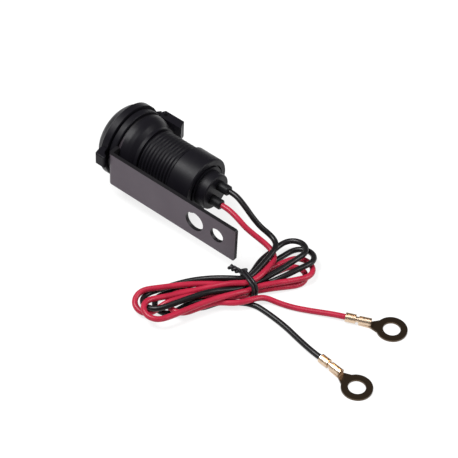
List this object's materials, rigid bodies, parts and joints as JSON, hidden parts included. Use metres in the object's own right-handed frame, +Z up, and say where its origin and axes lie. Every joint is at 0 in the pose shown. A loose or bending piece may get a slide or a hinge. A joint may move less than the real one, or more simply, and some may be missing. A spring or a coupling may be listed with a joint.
{
  "type": "usb charging socket",
  "caption": "Round flange-mount USB charging socket with a hinged cap, threaded barrel and steel angle bracket, with red and black supply wires tied in a hank and ended in ring terminals.",
  "frame": {"origin": "on the table under the socket, midway between the cap's front and the bracket's end, below the socket's axis", "axes": "+X along the socket's axis from the cap to the wires, +Z up from the table, +Y away from the bracket plate"},
  "size_m": [0.1907, 0.1011, 0.04],
  "materials": {
    "black_plastic": "moulded, soft sheen",
    "seal_rubber": "smooth",
    "bracket_steel": "satin dark coating",
    "bright_steel": "bright",
    "port_plastic": "fine texture",
    "tongue_plastic": "smooth",
    "contact_brass": "plated",
    "board": "solder mask",
    "ferrite": "pressed powder",
    "can_aluminium": "drawn can",
    "chip_plastic": "moulded",
    "red_wire": "glossy insulation",
    "black_wire": "glossy insulation",
    "tie_plastic": "plastic-coated wire",
    "terminal_brass": "plain brass, darkened flat"
  },
  "bodies": {
    "socket": {"socket_body": "black_plastic", "collar_nut": "black_plastic", "rear_cover": "black_plastic", "red_sleeve": "seal_rubber", "black_sleeve": "seal_rubber", "bracket": "bracket_steel", "hinge_pin": "bright_steel", "usb_shell_upper": "bright_steel", "usb_shell_lower": "bright_steel", "port_insert": "port_plastic", "usb_tongue_upper": "tongue_plastic", "usb_tongue_lower": "tongue_plastic", "usb_contacts_upper": "contact_brass", "usb_contacts_lower": "contact_brass", "circuit_board": "board", "power_inductor": "ferrite", "filter_capacitors": "can_aluminium", "converter_chip": "chip_plastic", "red_lead": "red_wire", "red_tail": "red_wire", "black_lead": "black_wire", "black_tail": "black_wire", "wire_hank": "black_wire", "hank_tie": "tie_plastic", "red_terminal": "terminal_brass", "black_terminal": "terminal_brass"},
    "flip_cap": {"cap": "black_plastic", "cap_seal": "seal_rubber"}
  },
  "joints": [
    {"name": "cap_hinge", "type": "hinge", "parent": "socket", "child": "flip_cap", "pos_m": [-0.03525, 0.0222, 0.02], "axis": [0, 0, -1], "range_deg": [0, 105]}
  ]
}
